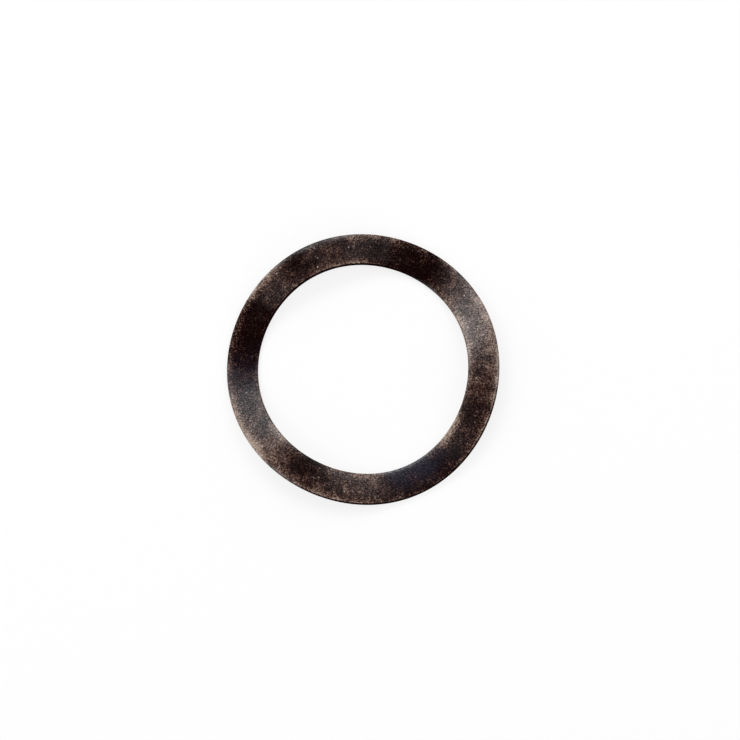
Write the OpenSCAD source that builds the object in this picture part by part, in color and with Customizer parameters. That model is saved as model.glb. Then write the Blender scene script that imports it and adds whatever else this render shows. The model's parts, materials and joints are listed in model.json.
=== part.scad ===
// Wave washer: a closed ring stamped from flat spring strip and pressed into even waves, so that it
// pushes two parts apart when they are drawn together over it.
// The origin lies on the axis of the bore, in the plane that the troughs stand on. +Z runs along the
// axis, and the first crest lies on +X.

/* [Ring] */
// Diameter of the bore
bore_d = 19.6; // [15:0.1:26]
// Width of the strip, from the bore to the rim
strip_width = 2.9; // [2.5:0.1:4]
// Thickness of the strip, square to its face
thickness = 0.5; // [0.45:0.05:0.8]
// How far in from a wall the stamped edge starts to roll over
roll_width = 1; // [0.4:0.05:1.1]
// How far the rolled edge has sunk where it meets the wall
roll_depth = 0.15; // [0.04:0.01:0.2]

/* [Waves] */
// Number of waves round the ring
waves = 3; // [2:1:5]
// Height over the crests when nothing presses on the ring
free_height = 2; // [1.2:0.05:3]

/* [Hidden] */

// Steps round one wave, and across one rolled edge
wave_steps = 40;
edge_steps = 6;

ring_steps = waves * wave_steps;
bore_r = bore_d / 2;
outer_r = bore_r + strip_width;
// How far the middle of the strip rises and falls about its mean level
wave_rise = (free_height - thickness) / 2;
// Half the height of the upright wall between its two rolled edges
half_wall = thickness / 2 - roll_depth;

// Level of the middle of the strip at an angle round the axis. It is the same from bore to rim.
function level(angle) = free_height / 2 + wave_rise * cos(waves * angle);

// Slope of the strip along its length, which is steeper at the bore than at the rim
function slope(radius, angle) = -waves * wave_rise * sin(waves * angle) / radius;

// Upright height of one unit of thickness, where the strip slopes
function upright(radius, angle) = sqrt(1 + pow(slope(radius, angle), 2));

// A rolled edge, as [radius, height through the thickness], from the wall to the face.
// Side is 1 at the rim and -1 at the bore, and face is 1 on top and -1 underneath.
function edge(wall_r, side, face) = [
    for (i = [1 : edge_steps])
        let (turn = 90 * i / edge_steps)
        [wall_r - side * roll_width * (1 - cos(turn)), face * (half_wall + roll_depth * sin(turn))]
];

// The point where the last lines of two edges meet, past the wall
function tip(wall_r, side) = [
    wall_r + side * half_wall * roll_width / roll_depth * tan(45 / edge_steps), 0
];

function backwards(list) = [for (i = [len(list) - 1 : -1 : 0]) list[i]];

// Section of the strip before its walls are cut, from the tip past the rim, over the top and back
section = concat(
    [tip(outer_r, 1)],
    edge(outer_r, 1, 1),
    backwards(edge(bore_r, -1, 1)),
    [tip(bore_r, -1)],
    edge(bore_r, -1, -1),
    backwards(edge(outer_r, 1, -1))
);

// A point of the section, put in its place at an angle round the axis
function placed(point, angle) = [
    point[0] * cos(angle),
    point[0] * sin(angle),
    level(angle) + point[1] * upright(point[0], angle)
];

// The section carried round the axis over the waves
module wavy_strip() {
    n = len(section);
    points = [
        for (i = [0 : ring_steps - 1])
            for (point = section)
                placed(point, 360 * i / ring_steps)
    ];
    faces = [
        for (i = [0 : ring_steps - 1])
            for (j = [0 : n - 1])
                let (
                    here = i * n,
                    next = (i + 1) % ring_steps * n,
                    k = (j + 1) % n
                )
                each [
                    [here + j, here + k, next + k],
                    [here + j, next + k, next + j]
                ]
    ];
    polyhedron(points = points, faces = faces);
}

// A round punch on the axis, taller than the ring
module punch(radius) {
    translate([0, 0, -free_height / 2])
        cylinder(h = 2 * free_height, r = radius, $fn = 2 * ring_steps);
}

module wave_washer() {
    color("#3b312d")
    difference() {
        intersection() {
            wavy_strip();
            punch(outer_r);
        }
        punch(bore_r);
    }
}

wave_washer();
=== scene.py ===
"""A wave washer: a closed ring of blackened spring steel in three waves, and the studio it lies in."""

import json
from math import cos, pi, radians, sin, tau

import bpy
from bpy.props import FloatProperty, FloatVectorProperty, IntProperty, PointerProperty
from bpy.types import Operator, Panel, PropertyGroup
from mathutils import Matrix, Vector


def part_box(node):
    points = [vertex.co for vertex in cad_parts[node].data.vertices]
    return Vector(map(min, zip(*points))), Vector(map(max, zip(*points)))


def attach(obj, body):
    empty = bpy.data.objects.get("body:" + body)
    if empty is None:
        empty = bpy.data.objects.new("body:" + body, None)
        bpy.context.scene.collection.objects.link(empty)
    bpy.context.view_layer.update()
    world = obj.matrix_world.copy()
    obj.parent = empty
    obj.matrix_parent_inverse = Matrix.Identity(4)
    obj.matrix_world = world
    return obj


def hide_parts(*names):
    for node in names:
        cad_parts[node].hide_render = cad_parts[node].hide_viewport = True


bl_info = {
    "name": "Wave Washer",
    "version": (1, 0, 0),
    "blender": (4, 5, 0),
    "location": "3D View > Sidebar > Washer",
    "description": "Models a wave washer in blackened spring steel and sets a studio round it",
    "category": "Mesh",
}

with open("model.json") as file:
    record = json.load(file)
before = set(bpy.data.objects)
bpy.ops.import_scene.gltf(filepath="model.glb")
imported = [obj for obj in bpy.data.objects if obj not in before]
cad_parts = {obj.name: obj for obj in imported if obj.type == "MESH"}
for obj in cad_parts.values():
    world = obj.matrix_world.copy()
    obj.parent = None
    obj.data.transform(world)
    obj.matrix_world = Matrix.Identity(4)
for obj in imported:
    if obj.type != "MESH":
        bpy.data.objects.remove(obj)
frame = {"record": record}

MM = 0.001
NODE = "wave_washer"
BODY = "root"

CAD_LOW, CAD_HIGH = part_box(NODE)
CAD_MIDDLE = (CAD_LOW + CAD_HIGH) / 2
MOUNTS = {mount["name"]: mount for mount in frame["record"]["mounts"]}
BORE_RADIUS = MOUNTS["bore"]["dims"]["r_mm"] * MM


# ---------------------------------------------------------------------------------------------------
# Sizes and colours
# ---------------------------------------------------------------------------------------------------


def length(name, description, default):
    """A length in metres, shown to a hundredth of a millimetre."""
    return FloatProperty(
        name=name, description=description, default=default, min=0, precision=5, unit="LENGTH"
    )


def angle(name, description, default):
    """An angle, given in degrees."""
    return FloatProperty(
        name=name, description=description, default=radians(default), subtype="ANGLE"
    )


def share(name, description, default):
    """A share from 0 to 1."""
    return FloatProperty(
        name=name, description=description, default=default, min=0, max=1, subtype="FACTOR"
    )


def power(name, description, default):
    """A lamp's power in watts."""
    return FloatProperty(name=name, description=description, default=default, min=0, unit="POWER")


def colour(name, description, default):
    """A linear colour."""
    return FloatVectorProperty(
        name=name, description=description, default=default, size=3, min=0, max=1, subtype="COLOR"
    )


class WasherSizes(PropertyGroup):
    """Sizes of the ring"""

    rim_radius: length("Rim radius", "From the axis to the rim", CAD_HIGH.x)
    bore_radius: length("Bore radius", "From the axis to the wall of the bore", BORE_RADIUS)
    free_height: length("Free height", "From the table to the top of a crest", CAD_HIGH.z)
    thickness: length("Thickness", "Thickness of the strip", 0.5 * MM)
    roll_width: length("Roll width", "How far in from a wall the edge starts to roll over", 1.0 * MM)
    roll_depth: length("Roll depth", "How far the edge has sunk where it meets the wall", 0.15 * MM)
    lobe: length("Lobe", "How far pressing has pushed the troughs out and drawn the crests in", 0.05 * MM)
    waves: IntProperty(name="Waves", description="Number of waves round the ring", default=3, min=1)


class WasherFinish(PropertyGroup):
    """Finish of the blackened steel"""

    # The darkest colour is that of the darkest oxide, and also of the painted shade where the waves catch
    # little light
    dark_oxide_and_shade: colour("Soot", "Colour of the darkest oxide", (0.005, 0.0008, 0.0009))
    oxide: colour("Oxide", "Colour of the brown-black oxide", (0.026, 0.007, 0.005))
    # The rubbed colour is also used for painted sheen where the waves catch the key lamp
    rubbed_and_sheen: colour("Rubbed", "Colour where the oxide is rubbed thin", (0.1, 0.05, 0.036))
    worn: colour("Worn", "Colour where the oxide is worn through", (0.22, 0.15, 0.116))
    bare: colour("Bare", "Colour of the barest grains", (0.42, 0.325, 0.26))
    nicks: colour("Nicks", "Colour of bright metal in specks and scratches", (0.5, 0.46, 0.42))
    temper: colour("Temper", "Colour of the faint blue temper patches", (0.01, 0.014, 0.028))
    glaze_ior: FloatProperty(
        name="Glaze IOR", description="Index of refraction of the glaze", default=1.9, min=1
    )
    glaze_roughness: share("Glaze roughness", "Roughness of the thin glaze on the oxide", 0.3)


class WasherStudio(PropertyGroup):
    """Camera, lamps and floor"""

    lean: angle("Lean", "Angle of the camera from straight above", 9.4)
    heading: angle("Heading", "Direction that the camera leans to, round from +X", 288.5)
    up_heading: angle("Up", "Direction that points up in the picture, round from +X", 96)
    camera_distance: length("Camera distance", "From the washer to the camera", 0.5)
    picture_width: length("Picture width", "Width of what the camera sees at the washer", 68.8 * MM)
    aside: length("Aside", "How far the camera aims to the right of the washer", 0.61 * MM)
    below: length("Below", "How far the camera aims below the washer", 0.1 * MM)
    floor: colour("Floor", "Colour of the floor", (0.95, 0.95, 0.95))
    lift: share("Lift", "How far the floor is lifted to white where the camera sees it", 0.8)
    key_power: power("Key power", "Power of the key lamp", 1.03)
    side_power: power("Side power", "Power of the side lamp", 0.345)
    fill_power: power("Fill power", "Power of the fill lamp", 0.345)


# ---------------------------------------------------------------------------------------------------
# Shader nodes
# ---------------------------------------------------------------------------------------------------


class Graph:
    """Adds nodes to a node tree and wires them up."""

    def __init__(self, tree):
        self.tree = tree

    def add(self, kind, inputs=None, **settings):
        """One node. An input is a value to set or an output socket to link."""
        node = self.tree.nodes.new(kind)
        for name, value in settings.items():
            setattr(node, name, value)
        for name, value in (inputs or {}).items():
            socket = node.inputs[name]
            if isinstance(value, bpy.types.NodeSocket):
                self.tree.links.new(value, socket)
            else:
                socket.default_value = value
        return node

    def math(self, operation, *values, clamp=False):
        """A Math node's value."""
        inputs = dict(enumerate(values))
        return self.add("ShaderNodeMath", inputs, operation=operation, use_clamp=clamp).outputs[0]

    def vector_math(self, operation, *vectors):
        """The single value that a Vector Math node gives, such as a length."""
        inputs = dict(enumerate(vectors))
        return self.add("ShaderNodeVectorMath", inputs, operation=operation).outputs["Value"]

    def ramp(self, value, low, high, start=0.0, end=1.0):
        """A value carried smoothly from low..high to start..end."""
        inputs = {"Value": value, "From Min": low, "From Max": high, "To Min": start, "To Max": end}
        return self.add("ShaderNodeMapRange", inputs, interpolation_type="SMOOTHSTEP").outputs[0]

    def fade(self, value, low, high):
        """A mask that fades smoothly from 1 to 0 as a value goes from low to high."""
        return self.ramp(value, low, high, 1.0, 0.0)

    def mix(self, mask, first, second):
        """Two colours mixed by a mask."""
        node = self.add("ShaderNodeMix", data_type="RGBA")
        sockets = (node.inputs[0], node.inputs[6], node.inputs[7])
        for socket, value in zip(sockets, (mask, first, second)):
            if isinstance(value, bpy.types.NodeSocket):
                self.tree.links.new(value, socket)
            else:
                socket.default_value = (*value, 1) if socket.type == "RGBA" else value
        return node.outputs[2]

    def noise(self, vector, scale, detail=2.0, roughness=0.5):
        """The value of a Noise texture."""
        inputs = {"Vector": vector, "Scale": scale, "Detail": detail, "Roughness": roughness}
        return self.add("ShaderNodeTexNoise", inputs).outputs["Fac"]

    def group(self, tree, **inputs):
        """A node group's outputs."""
        node = self.tree.nodes.new("ShaderNodeGroup")
        node.node_tree = tree
        for name, value in inputs.items():
            socket = node.inputs[name.replace("_", " ")]
            if isinstance(value, bpy.types.NodeSocket):
                self.tree.links.new(value, socket)
            else:
                socket.default_value = value
        return node.outputs


def new_group(name, inputs, outputs):
    """An empty shader node group, as (tree, graph, input sockets, output node)."""
    tree = bpy.data.node_groups.new(name, "ShaderNodeTree")
    for socket_name, kind in inputs.items():
        tree.interface.new_socket(socket_name, in_out="INPUT", socket_type=kind)
    for socket_name in outputs:
        tree.interface.new_socket(socket_name, in_out="OUTPUT", socket_type="NodeSocketFloat")
    graph = Graph(tree)
    return tree, graph, graph.add("NodeGroupInput").outputs, graph.add("NodeGroupOutput")


def grain_group():
    """Fine grain about a level of 0.5: crystals of random depth over softer noise."""
    tree, graph, given, result = new_group(
        "fine_grain",
        {
            "Vector": "NodeSocketVector",
            "Soft Scale": "NodeSocketFloat",
            "Crystal Scale": "NodeSocketFloat",
        },
        ["Grain", "Soft"],
    )
    soft = graph.noise(given["Vector"], given["Soft Scale"], detail=5, roughness=0.75)
    cells = graph.add(
        "ShaderNodeTexVoronoi", {"Vector": given["Vector"], "Scale": given["Crystal Scale"]}
    ).outputs["Color"]
    crystal = graph.add("ShaderNodeSeparateColor", {"Color": cells}).outputs["Red"]
    grain = graph.math("MULTIPLY_ADD", soft, SOFT_SHARE, -SOFT_SHARE / 2)
    crystals = graph.math("MULTIPLY_ADD", crystal, CRYSTAL_SHARE, 0.5 - CRYSTAL_SHARE / 2)
    grain = graph.math("ADD", grain, crystals)
    tree.links.new(grain, result.inputs["Grain"])
    tree.links.new(soft, result.inputs["Soft"])
    return tree


def edge_group():
    """Distances in from the rim and out from the bore, in millimetres, with the lobes allowed for."""
    tree, graph, given, result = new_group(
        "edge_distance",
        {
            "Vector": "NodeSocketVector",
            "Rim": "NodeSocketFloat",
            "Bore": "NodeSocketFloat",
            "Lobe": "NodeSocketFloat",
            "Waves": "NodeSocketFloat",
        },
        ["From Rim", "From Bore"],
    )
    flat = graph.add("ShaderNodeVectorMath", {0: given["Vector"], 1: (1, 1, 0)}, operation="MULTIPLY")
    radius = graph.vector_math("LENGTH", flat.outputs[0])
    axes = graph.add("ShaderNodeSeparateXYZ", {0: flat.outputs[0]}).outputs
    phase = graph.math("MULTIPLY", graph.math("ARCTAN2", axes["Y"], axes["X"]), given["Waves"])
    radius = graph.math("MULTIPLY_ADD", graph.math("COSINE", phase), given["Lobe"], radius)
    tree.links.new(graph.math("SUBTRACT", given["Rim"], radius), result.inputs["From Rim"])
    tree.links.new(graph.math("SUBTRACT", radius, given["Bore"]), result.inputs["From Bore"])
    return tree


def patch_group():
    """A soft round patch about a place, from 1 at its middle to 0 at its reach."""
    tree, graph, given, result = new_group(
        "soft_patch",
        {"Vector": "NodeSocketVector", "Place": "NodeSocketVector", "Reach": "NodeSocketFloat"},
        ["Mask"],
    )
    gap = graph.vector_math("DISTANCE", given["Vector"], given["Place"])
    share_of_reach = graph.math("DIVIDE", gap, given["Reach"])
    tree.links.new(graph.fade(share_of_reach, 0, 1), result.inputs["Mask"])
    return tree


def fleck_group():
    """Scattered flecks: a share of the cells of a given scale each hold one, of a given radius, and
    some are fainter than others."""
    tree, graph, given, result = new_group(
        "flecks",
        {
            "Vector": "NodeSocketVector",
            "Scale": "NodeSocketFloat",
            "Radius": "NodeSocketFloat",
            "Share": "NodeSocketFloat",
        },
        ["Mask"],
    )
    cells = graph.add(
        "ShaderNodeTexVoronoi", {"Vector": given["Vector"], "Scale": given["Scale"]}
    ).outputs
    radius = graph.math("MULTIPLY", given["Radius"], given["Scale"])
    gap = graph.math("DIVIDE", cells["Distance"], radius)
    chance = graph.add("ShaderNodeSeparateColor", {"Color": cells["Color"]}).outputs
    chosen = graph.math("LESS_THAN", chance["Red"], given["Share"])
    mask = graph.math("MULTIPLY", graph.fade(gap, FLECK_CORE, 1), chosen)
    tree.links.new(graph.math("MULTIPLY", mask, chance["Green"]), result.inputs["Mask"])
    return tree


def new_material(name):
    """A material with a Principled shader, as (material, graph, shader)."""
    material = bpy.data.materials.new(name)
    material.use_nodes = True
    material.node_tree.nodes.clear()
    graph = Graph(material.node_tree)
    shader = graph.add("ShaderNodeBsdfPrincipled")
    graph.add("ShaderNodeOutputMaterial", {"Surface": shader.outputs["BSDF"]})
    return material, graph, shader


# Grain of the oxide. Scales are in cells to a millimetre, here and below.
SOFT_SCALE = 7.0
CRYSTAL_SCALE = 13.0
SOFT_SHARE = 2.6
CRYSTAL_SHARE = 0.9
BLOTCH_SCALE = 0.9
BUMP_DEPTH = 0.02 * MM

# How much each cause bares the steel, or keeps it dark where the weight is below 0
# Of these causes the dark patches are partly painted shade, the sheen patches painted sheen, the corners
# a painted highlight, and the walls' shade painted shade
BARING = {
    "grain": 1.05,
    "blotch": 1.9,
    "rubbed_and_sheen": 0.5,
    "wear": 0.8,
    "corner_highlight": 0.3,
    "dark_oxide_and_shade": -0.74,
    "wall_shade": -0.35,
    "side_shade": -1.2,
}
BARING_LEVEL = -1.185
# Scale from baring to the colour ramp, and where on the ramp its inner colours stand
BARING_TO_RAMP = 0.7
OXIDE_STOP = 0.2
RUBBED_AND_SHEEN_STOP = 0.45
WORN_STOP = 0.7

# Bands in from a wall, in millimetres, over which each effect fades out: painted shade on the walls, a
# painted highlight along their corners, painted shade beside the rim's and the bore's shaded walls, and
# wear
WALL_SHADE_BAND = (0.0, 0.03)
CORNER_HIGHLIGHT_BAND = (0.16, 0.34)
RIM_SIDE_SHADE_BAND = (0.09, 0.15)
BORE_SIDE_SHADE_BAND = (0.12, 0.18)
WEAR_BAND = (0.0, 1.05)
# Scale and reach in millimetres of the noise that makes the wear end raggedly, and of the noise that
# makes the patches wander
RAGGED_SCALE = 2.2
RAGGED_REACH = 0.2
WANDER_SCALE = 0.9
WANDER_REACH = 0.8

# Heading that the walls with painted shade face, away from the key lamp: the rim's wall on that side of
# the axis and the bore's wall on the other. The painted shade starts and is full at these distances along
# that heading, in millimetres.
SHADED_HEADING = 300
RIM_SHADE_SPAN = (3, 11)
BORE_SHADE_SPAN = (-3, -8)

# Turn of the nicks about the axis, and how boldly they show
NICK_TURN = radians(-24)
NICK_STRENGTH = 1.5
# The specks and then the scratches, each as how many times longer than wide it is, its scale, its
# radius in millimetres and the share of the cells that hold one
NICKS = ((2, 2.6, 0.065, 0.25), (7, 1.4, 0.05, 0.2))
# Share of a fleck's radius that shows at full strength
FLECK_CORE = 0.4

# Strength of a patch of darker oxide and painted shade, and how much the grain takes from it
DARK_OXIDE_AND_SHADE_LEVEL = 1.15
DARK_OXIDE_AND_SHADE_BY_GRAIN = 0.4
# Strength of a temper patch, and how much the darker oxide and painted shade take from it
TEMPER_LEVEL = 0.85
TEMPER_BY_DARK_OXIDE_AND_SHADE = 0.5
# Glaze strength, what grain and wear add to it, and what dark oxide and painted shade take from it
GLAZE_LEVEL = 0.19
GLAZE_BY_GRAIN = 0.6
GLAZE_BY_WEAR = 0.2
DULLING = 0.95

# Level of the middle of every patch, in millimetres
PATCH_LEVEL = CAD_MIDDLE.z / MM
# Patches on the face, each as its heading in degrees round from +X, its radius and reach in
# millimetres and its depth
# Patches of darker oxide and of painted shade, the deepest where the slopes of the waves catch little
# light
DARK_OXIDE_AND_SHADE_PATCHES = (
    (72, 11.25, 5.3, 1.5), (90, 10.9, 4.4, 0.85), (128, 11.8, 3.0, 1.15), (169, 11.2, 5.5, 1.9),
    (188, 11.0, 3.4, 0.6), (336, 11.25, 4.8, 0.6), (300, 11.9, 4.6, 0.5), (246, 10.5, 3.8, 0.75),
    (206, 11.0, 3.0, 0.45), (270, 11.4, 4.0, 0.3), (115, 12.6, 2.8, 0.8), (316, 11.8, 3.2, 0.8),
    (105, 11.4, 3.1, 0.6), (355, 11.4, 2.6, 0.4), (237, 11.6, 2.4, 0.45), (147, 11.0, 2.6, 0.3),
    (215, 10.6, 2.2, 0.4), (58, 12.6, 2.2, 0.5),
)
# Patches of painted sheen where the slopes of the waves catch the key lamp
SHEEN_PATCHES = (
    (10, 11.25, 5.0, 0.15), (226, 11.2, 3.4, 0.5), (118, 11.0, 2.6, 0.1), (148, 12.0, 2.0, 0.2),
    (96, 11.6, 3.0, 0.1),
)
TEMPER_PATCHES = (
    (190, 10.9, 4.4, 0.6), (296, 10.1, 2.8, 1.3), (306, 10.1, 2.9, 1.3), (315, 10.3, 2.4, 0.8),
)
# Worn stretches of the two walls' edges, each as its heading, its reach and its depth
RIM_WEAR = (
    (5, 10.0, 0.65), (29, 5.0, 0.85), (65, 4.0, 0.5), (80, 4.6, 1.0), (94, 3.9, 0.8),
    (136, 3.6, 0.5), (150, 4.4, 1.35), (170, 4.6, 1.05), (185, 4.4, 0.8), (203, 4.0, 1.25),
    (218, 4.8, 1.35), (232, 3.4, 0.3), (245, 4.0, 0.85), (264, 5.0, 0.65), (338, 5.0, 0.65),
    (356, 3.0, 0.8),
)
BORE_WEAR = (
    (32, 4.6, 0.9), (330, 3.8, 1.6), (101, 3.8, 0.95), (277, 3.9, 0.7), (223, 2.6, 0.45),
    (131, 3.2, 0.35), (356, 4.0, 0.45), (201, 3.6, 0.6), (244, 2.4, 0.2), (16, 3.4, 0.8),
    (316, 2.4, 0.5),
)


def add_patches(graph, patch, vector, rows):
    """The deepest of some patches at each point. A row is a heading, radius, reach and depth."""
    deepest = 0.0
    for heading, radius, reach, depth in rows:
        turn = radians(heading)
        place = (radius * cos(turn), radius * sin(turn), PATCH_LEVEL)
        mask = graph.group(patch, Vector=vector, Place=place, Reach=reach)["Mask"]
        deepest = graph.math("MAXIMUM", deepest, graph.math("MULTIPLY", mask, depth))
    return deepest


def wall_masks(graph, vector, edges):
    """Masks of painted shade on the walls, of a painted highlight along the corners beside them, and of
    painted shade on and beside them. The last two lie only on the walls that face the shaded heading,
    away from the key lamp."""
    distance = graph.math("MINIMUM", edges["From Rim"], edges["From Bore"])
    # Painted shade on the walls all round
    wall_shade = graph.fade(distance, *WALL_SHADE_BAND)
    toward_shade = (cos(radians(SHADED_HEADING)), sin(radians(SHADED_HEADING)), 0)
    across = graph.vector_math("DOT_PRODUCT", vector, toward_shade)
    rim_side = graph.ramp(across, *RIM_SHADE_SPAN)
    bore_side = graph.ramp(across, *BORE_SHADE_SPAN)
    # Corners paler beside the shaded walls: a painted highlight
    corner_highlight = graph.math(
        "MAXIMUM",
        graph.math("MULTIPLY", graph.fade(edges["From Rim"], *CORNER_HIGHLIGHT_BAND), rim_side),
        graph.math("MULTIPLY", graph.fade(edges["From Bore"], *CORNER_HIGHLIGHT_BAND), bore_side),
    )
    # Painted shade on and beside the walls that face away from the key lamp
    side_shade = graph.math(
        "MAXIMUM",
        graph.math("MULTIPLY", graph.fade(edges["From Rim"], *RIM_SIDE_SHADE_BAND), rim_side),
        graph.math("MULTIPLY", graph.fade(edges["From Bore"], *BORE_SIDE_SHADE_BAND), bore_side),
    )
    return wall_shade, corner_highlight, side_shade


def wear_mask(graph, patch, vector, edges, sizes):
    """Mask of the worn edges, which end raggedly on the face."""
    ragged = graph.noise(vector, RAGGED_SCALE, detail=3)
    ragged = graph.math("MULTIPLY_ADD", ragged, 2 * RAGGED_REACH, -RAGGED_REACH)
    masks = []
    walls = (
        ("From Rim", sizes.rim_radius / MM, RIM_WEAR),
        ("From Bore", sizes.bore_radius / MM, BORE_WEAR),
    )
    for edge, wall_radius, rows in walls:
        band = graph.fade(graph.math("ADD", edges[edge], ragged), *WEAR_BAND)
        patches = [(heading, wall_radius, reach, depth) for heading, reach, depth in rows]
        masks.append(graph.math("MULTIPLY", band, add_patches(graph, patch, vector, patches)))
    return graph.math("MAXIMUM", *masks)


def nick_mask(graph, vector):
    """Mask of the specks and scratches, which all run the same way."""
    flecks = fleck_group()
    masks = []
    for stretch, scale, radius, share_held in NICKS:
        inputs = {"Vector": vector, "Rotation": (0, 0, NICK_TURN), "Scale": (1, stretch, 1)}
        along = graph.add("ShaderNodeMapping", inputs, vector_type="TEXTURE").outputs[0]
        fleck = graph.group(flecks, Vector=along, Scale=scale, Radius=radius, Share=share_held)
        masks.append(fleck["Mask"])
    return graph.math("MAXIMUM", *masks)


def blackened_steel(sizes, finish):
    """Black oxide on tumbled spring steel: dark and fine-grained, rubbed paler on its edges, with painted
    shade and painted sheen laid into it.
    """
    material, graph, shader = new_material("blackened_steel")
    place = graph.add("ShaderNodeTexCoord").outputs["Object"]
    vector = graph.add("ShaderNodeVectorMath", {0: place, "Scale": 1 / MM}, operation="SCALE").outputs[0]

    grain = graph.group(
        grain_group(), Vector=vector, Soft_Scale=SOFT_SCALE, Crystal_Scale=CRYSTAL_SCALE
    )
    blotch = graph.noise(vector, BLOTCH_SCALE, detail=4, roughness=0.6)
    edges = graph.group(
        edge_group(),
        Vector=vector,
        Rim=sizes.rim_radius / MM,
        Bore=sizes.bore_radius / MM,
        Lobe=sizes.lobe / MM,
        Waves=sizes.waves,
    )
    wall_shade, corner_highlight, side_shade = wall_masks(graph, vector, edges)

    patch = patch_group()
    wander = graph.noise(vector, WANDER_SCALE, detail=3)
    wander = graph.math("MULTIPLY_ADD", wander, 2 * WANDER_REACH, -WANDER_REACH)
    warped = graph.add("ShaderNodeVectorMath", {0: vector, 1: wander}, operation="ADD").outputs[0]
    # Patches of darker oxide and painted shade
    dark = graph.math("MINIMUM", add_patches(graph, patch, warped, DARK_OXIDE_AND_SHADE_PATCHES), 1.0)
    # Patches of painted sheen
    rubbed_and_sheen = add_patches(graph, patch, warped, SHEEN_PATCHES)
    blue = graph.math("MINIMUM", add_patches(graph, patch, warped, TEMPER_PATCHES), 1.0)
    wear = wear_mask(graph, patch, vector, edges, sizes)
    dark_oxide_and_shade = graph.math("MULTIPLY_ADD", grain["Grain"], -DARK_OXIDE_AND_SHADE_BY_GRAIN, DARK_OXIDE_AND_SHADE_LEVEL)
    dark_oxide_and_shade = graph.math("MULTIPLY", dark, dark_oxide_and_shade)

    baring = BARING_LEVEL
    causes = {
        "grain": grain["Grain"],
        "blotch": blotch,
        "rubbed_and_sheen": rubbed_and_sheen,
        "wear": wear,
        "corner_highlight": corner_highlight,
        "dark_oxide_and_shade": dark_oxide_and_shade,
        "wall_shade": wall_shade,
        "side_shade": side_shade,
    }
    for name, mask in causes.items():
        baring = graph.math("MULTIPLY_ADD", mask, BARING[name], baring)
    ramp = graph.add("ShaderNodeValToRGB", {"Fac": graph.math("MULTIPLY", baring, BARING_TO_RAMP)})
    stops = ramp.color_ramp.elements
    stops[0].color = (*finish.dark_oxide_and_shade, 1)
    stops[1].color = (*finish.bare, 1)
    stops.new(OXIDE_STOP).color = (*finish.oxide, 1)
    stops.new(RUBBED_AND_SHEEN_STOP).color = (*finish.rubbed_and_sheen, 1)
    stops.new(WORN_STOP).color = (*finish.worn, 1)

    temper = graph.math("MULTIPLY_ADD", dark, -TEMPER_BY_DARK_OXIDE_AND_SHADE, TEMPER_LEVEL)
    temper = graph.math("MULTIPLY", blue, temper)
    tinted = graph.mix(temper, ramp.outputs["Color"], finish.temper)
    # Dark oxide and painted shade hide the nicks
    unshaded = graph.math("SUBTRACT", 1.0, graph.math("MAXIMUM", dark, side_shade), clamp=True)
    nicks = graph.math("MULTIPLY", nick_mask(graph, vector), unshaded)
    nicks = graph.math("MULTIPLY", nicks, NICK_STRENGTH, clamp=True)
    links = graph.tree.links
    links.new(graph.mix(nicks, tinted, finish.nicks), shader.inputs["Base Color"])

    gloss = graph.math("MULTIPLY_ADD", grain["Grain"], GLAZE_BY_GRAIN, GLAZE_LEVEL)
    gloss = graph.math("MULTIPLY_ADD", wear, GLAZE_BY_WEAR, gloss)
    # Dark oxide and painted shade take the glaze's reflection away
    shade_on_glaze = graph.math("MINIMUM", graph.math("MAXIMUM", dark_oxide_and_shade, side_shade), 1.0)
    glaze = graph.math("MULTIPLY", gloss, graph.math("MULTIPLY_ADD", shade_on_glaze, -DULLING, 1.0), clamp=True)
    links.new(glaze, shader.inputs["Coat Weight"])
    shader.inputs["Coat IOR"].default_value = finish.glaze_ior
    shader.inputs["Coat Roughness"].default_value = finish.glaze_roughness
    shader.inputs["Specular IOR Level"].default_value = 0
    shader.inputs["Roughness"].default_value = 1
    bump = graph.add(
        "ShaderNodeBump", {"Height": grain["Soft"], "Strength": 1.0, "Distance": BUMP_DEPTH}
    )
    links.new(bump.outputs["Normal"], shader.inputs["Normal"])
    return material


# ---------------------------------------------------------------------------------------------------
# The ring
# ---------------------------------------------------------------------------------------------------

# Steps across a rolled edge, cuts across a face and a wall, and steps round the ring
ROLL_STEPS = 8
FACE_CUTS = 9
WALL_CUTS = 2
SPIN_STEPS = 360
# Vertices nearer than this are merged
MERGE_GAP = 0.001 * MM


def select_edges(mesh_object, test):
    """In edit mode, selects only the edges whose two ends pass a test."""
    bpy.ops.object.mode_set(mode="OBJECT")
    mesh = mesh_object.data
    for part in (*mesh.vertices, *mesh.edges, *mesh.polygons):
        part.select = False
    for edge in mesh.edges:
        edge.select = test(*(mesh.vertices[i].co for i in edge.vertices))
    bpy.ops.object.mode_set(mode="EDIT")


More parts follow.
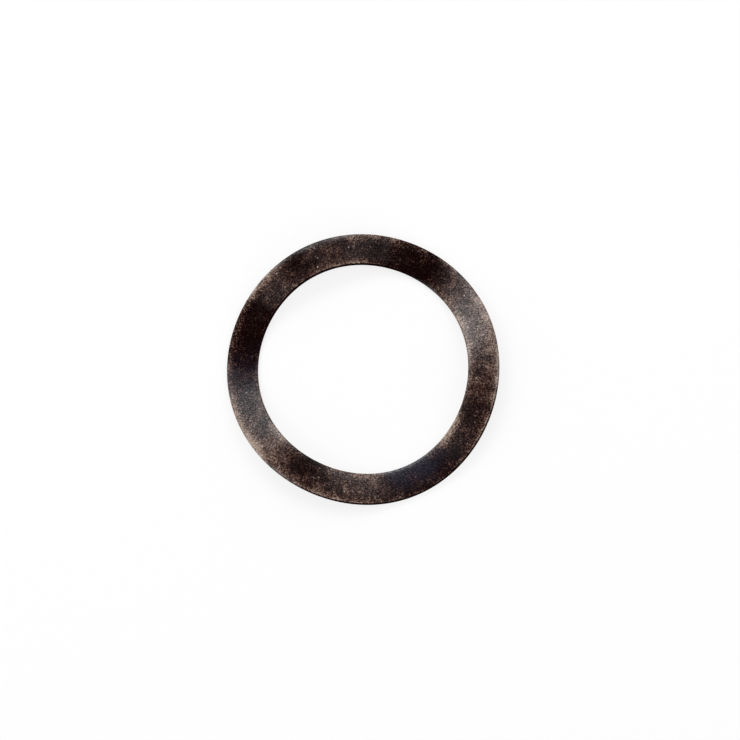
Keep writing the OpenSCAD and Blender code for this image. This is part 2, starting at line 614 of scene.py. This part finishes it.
def draw_section(sizes):
    """The strip's section as an open outline at +X. Its corners are rounded while it stands tall, and
    it is then pressed to its thickness, which leaves them wide and shallow."""
    width = sizes.rim_radius - sizes.bore_radius
    middle = Vector((sizes.bore_radius + width / 2, 0, sizes.thickness / 2))
    press = sizes.roll_depth / sizes.roll_width
    bpy.ops.mesh.primitive_plane_add(size=1, location=middle, rotation=(pi / 2, 0, 0))
    section = bpy.context.active_object
    section.scale = (width, sizes.thickness / press, 1)
    bpy.ops.object.transform_apply(location=True, rotation=True, scale=True)

    bpy.ops.object.mode_set(mode="EDIT")
    bpy.ops.mesh.select_all(action="SELECT")
    bpy.ops.mesh.bevel(offset=sizes.roll_width, segments=ROLL_STEPS, affect="VERTICES")
    bpy.ops.mesh.select_all(action="SELECT")
    bpy.ops.mesh.delete(type="ONLY_FACE")
    bpy.ops.mesh.select_all(action="SELECT")
    bpy.ops.transform.resize(value=(1, 1, press), center_override=middle)
    half_face = width / 2 - sizes.roll_width
    select_edges(section, lambda a, b: abs(a.x - b.x) > half_face)
    bpy.ops.mesh.subdivide(number_cuts=FACE_CUTS)
    half_wall = sizes.thickness / 2 - sizes.roll_depth
    select_edges(section, lambda a, b: abs(a.x - b.x) < MERGE_GAP and abs(a.z - b.z) > half_wall)
    bpy.ops.mesh.subdivide(number_cuts=WALL_CUTS)
    return section


def spin_ring():
    """Spins the outline once round the axis into a closed ring."""
    bpy.ops.mesh.select_all(action="SELECT")
    bpy.ops.mesh.spin(steps=SPIN_STEPS, angle=tau, center=(0, 0, 0), axis=(0, 0, 1))
    bpy.ops.mesh.select_all(action="SELECT")
    bpy.ops.mesh.remove_doubles(threshold=MERGE_GAP)
    bpy.ops.mesh.normals_make_consistent(inside=False)
    bpy.ops.object.mode_set(mode="OBJECT")


def press_waves(ring, sizes):
    """Lifts the flat ring into waves, each vertex by its share of the way from trough to crest. The
    ring comes out slightly lobed, as a pressed one does."""
    crests = ring.vertex_groups.new(name="crests")
    for vertex in ring.data.vertices:
        flat = vertex.co.xy
        crest = cos(sizes.waves * flat.angle_signed(Vector((1, 0))))
        crests.add([vertex.index], (1 + crest) / 2, "REPLACE")
        vertex.co.xy = flat * (1 - crest * sizes.lobe / flat.length)
    lift = ring.modifiers.new("waves", "DISPLACE")
    lift.direction = "Z"
    lift.mid_level = 0
    lift.strength = sizes.free_height - sizes.thickness
    lift.vertex_group = crests.name
    bpy.ops.object.modifier_apply(modifier=lift.name)
    ring.vertex_groups.clear()


class WAVEWASHER_OT_model_ring(Operator):
    """Model the ring: draw the strip's section, spin it round the axis and press it into waves"""

    bl_idname = "wavewasher.model_ring"
    bl_label = "Model the Ring"

    def execute(self, context):
        sizes = context.scene.washer_sizes
        bpy.ops.object.select_all(action="DESELECT")
        ring = draw_section(sizes)
        spin_ring()
        press_waves(ring, sizes)
        ring.name = ring.data.name = "wave_washer_ring"
        bpy.ops.object.shade_smooth()
        ring.data.materials.append(blackened_steel(sizes, context.scene.washer_finish))
        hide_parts(NODE)
        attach(ring, BODY)
        return {"FINISHED"}


# ---------------------------------------------------------------------------------------------------
# The studio
# ---------------------------------------------------------------------------------------------------

# In metres, but for the sensor, which Blender takes in millimetres
FLOOR_SIZE = 4.0
CAMERA_SENSOR = 36.0
CAMERA_CLIP = 0.01
LAMP_DISTANCE = 0.45
# Each lamp's direction round from +X and angle from straight up, in degrees, and its width and
# height in metres
LAMPS = {
    "key": (116, 43, (0.4, 0.2)),
    "side": (24, 38, (0.2, 0.2)),
    "fill": (226, 38, (0.2, 0.2)),
}
# Angles from straight up, in degrees, at which the light all round is full and gone
SKY_FULL = 60
SKY_GONE = 6


def toward(heading, from_above):
    """A unit vector, given its direction round from +X and its angle from straight up."""
    return Vector((sin(from_above) * cos(heading), sin(from_above) * sin(heading), cos(from_above)))


def floor_material(studio):
    """Pale matt floor that shows white where it is lit, and keeps the washer's shadow."""
    material, graph, shader = new_material("studio_floor")
    shader.inputs["Base Color"].default_value = (*studio.floor, 1)
    shader.inputs["Roughness"].default_value = 0.9
    shader.inputs["Specular IOR Level"].default_value = 0
    path = graph.add("ShaderNodeLightPath").outputs
    seen = graph.math("MAXIMUM", path["Is Camera Ray"], path["Is Glossy Ray"])
    seen = graph.math("MAXIMUM", seen, path["Is Transmission Ray"])
    glow = graph.add("ShaderNodeEmission", {"Strength": 1.0})
    fade = graph.math("MULTIPLY", seen, studio.lift)
    both = graph.add("ShaderNodeMixShader", {0: fade, 1: shader.outputs["BSDF"], 2: glow.outputs[0]})
    output = graph.tree.nodes["Material Output"]
    graph.tree.links.new(both.outputs[0], output.inputs["Surface"])
    return material


def add_floor(studio):
    bpy.ops.mesh.primitive_plane_add(size=FLOOR_SIZE, location=(0, 0, 0))
    floor = bpy.context.active_object
    floor.name = floor.data.name = "studio_floor"
    floor.data.materials.append(floor_material(studio))


def add_lamp(name, heading, from_above, size, power):
    """A soft lamp that faces the washer. Its size is its width and its height."""
    direction = toward(radians(heading), radians(from_above))
    bpy.ops.object.light_add(type="AREA", location=direction * LAMP_DISTANCE)
    lamp = bpy.context.active_object
    lamp.name = lamp.data.name = name
    lamp.data.shape = "RECTANGLE"
    lamp.data.size, lamp.data.size_y = size
    lamp.data.energy = power
    lamp.rotation_euler = direction.to_track_quat("Z", "Y").to_euler()


def add_camera(studio):
    back = toward(studio.heading, studio.lean)
    up = Vector((cos(studio.up_heading), sin(studio.up_heading), 0))
    up = (up - up.dot(back) * back).normalized()
    right = up.cross(back)
    aim = CAD_MIDDLE + right * studio.aside - up * studio.below
    bpy.ops.object.camera_add(location=aim + back * studio.camera_distance)
    camera = bpy.context.active_object
    camera.name = camera.data.name = "studio_camera"
    camera.rotation_euler = Matrix((right, up, back)).transposed().to_euler()
    camera.data.sensor_width = CAMERA_SENSOR
    camera.data.lens = CAMERA_SENSOR * studio.camera_distance / studio.picture_width
    camera.data.clip_start = CAMERA_CLIP
    bpy.context.scene.camera = camera


def add_world():
    """Soft light from all round, white at the horizon and fading to dark overhead."""
    world = bpy.data.worlds.new("studio_world")
    world.use_nodes = True
    world.node_tree.nodes.clear()
    graph = Graph(world.node_tree)
    direction = graph.add("ShaderNodeTexCoord").outputs["Generated"]
    height = graph.add("ShaderNodeSeparateXYZ", {0: direction}).outputs["Z"]
    level = graph.fade(height, cos(radians(SKY_FULL)), cos(radians(SKY_GONE)))
    background = graph.add("ShaderNodeBackground", {"Strength": level})
    graph.add("ShaderNodeOutputWorld", {"Surface": background.outputs[0]})
    bpy.context.scene.world = world


class WAVEWASHER_OT_set_stage(Operator):
    """Set the stage: a pale floor, three soft lamps, the light all round and the camera"""

    bl_idname = "wavewasher.set_stage"
    bl_label = "Set the Stage"

    def execute(self, context):
        studio = context.scene.washer_studio
        bpy.ops.object.select_all(action="DESELECT")
        add_floor(studio)
        for name, (heading, from_above, size) in LAMPS.items():
            add_lamp(f"{name}_lamp", heading, from_above, size, getattr(studio, f"{name}_power"))
        add_world()
        add_camera(studio)
        context.scene.view_settings.view_transform = "Standard"
        return {"FINISHED"}


# ---------------------------------------------------------------------------------------------------
# Add-on
# ---------------------------------------------------------------------------------------------------


class WAVEWASHER_PT_tools(Panel):
    """Sizes, colours and steps of the washer"""

    bl_label = "Wave Washer"
    bl_space_type = "VIEW_3D"
    bl_region_type = "UI"
    bl_category = "Washer"

    def draw(self, context):
        layout = self.layout
        for operator in OPERATORS:
            layout.operator(operator.bl_idname)
        for group_name, group in SETTINGS.items():
            box = layout.box()
            box.label(text=group.__doc__)
            for name in group.__annotations__:
                box.prop(getattr(context.scene, group_name), name)


OPERATORS = (WAVEWASHER_OT_model_ring, WAVEWASHER_OT_set_stage)
SETTINGS = {"washer_sizes": WasherSizes, "washer_finish": WasherFinish, "washer_studio": WasherStudio}


def register():
    for item in (*SETTINGS.values(), *OPERATORS, WAVEWASHER_PT_tools):
        bpy.utils.register_class(item)
    for name, group in SETTINGS.items():
        setattr(bpy.types.Scene, name, PointerProperty(type=group))


def unregister():
    for name in SETTINGS:
        delattr(bpy.types.Scene, name)
    for item in (WAVEWASHER_PT_tools, *reversed(OPERATORS), *reversed(list(SETTINGS.values()))):
        bpy.utils.unregister_class(item)


def main():
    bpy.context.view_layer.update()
    register()
    bpy.ops.wavewasher.model_ring()
    bpy.ops.wavewasher.set_stage()


if __name__ == "__main__":
    main()
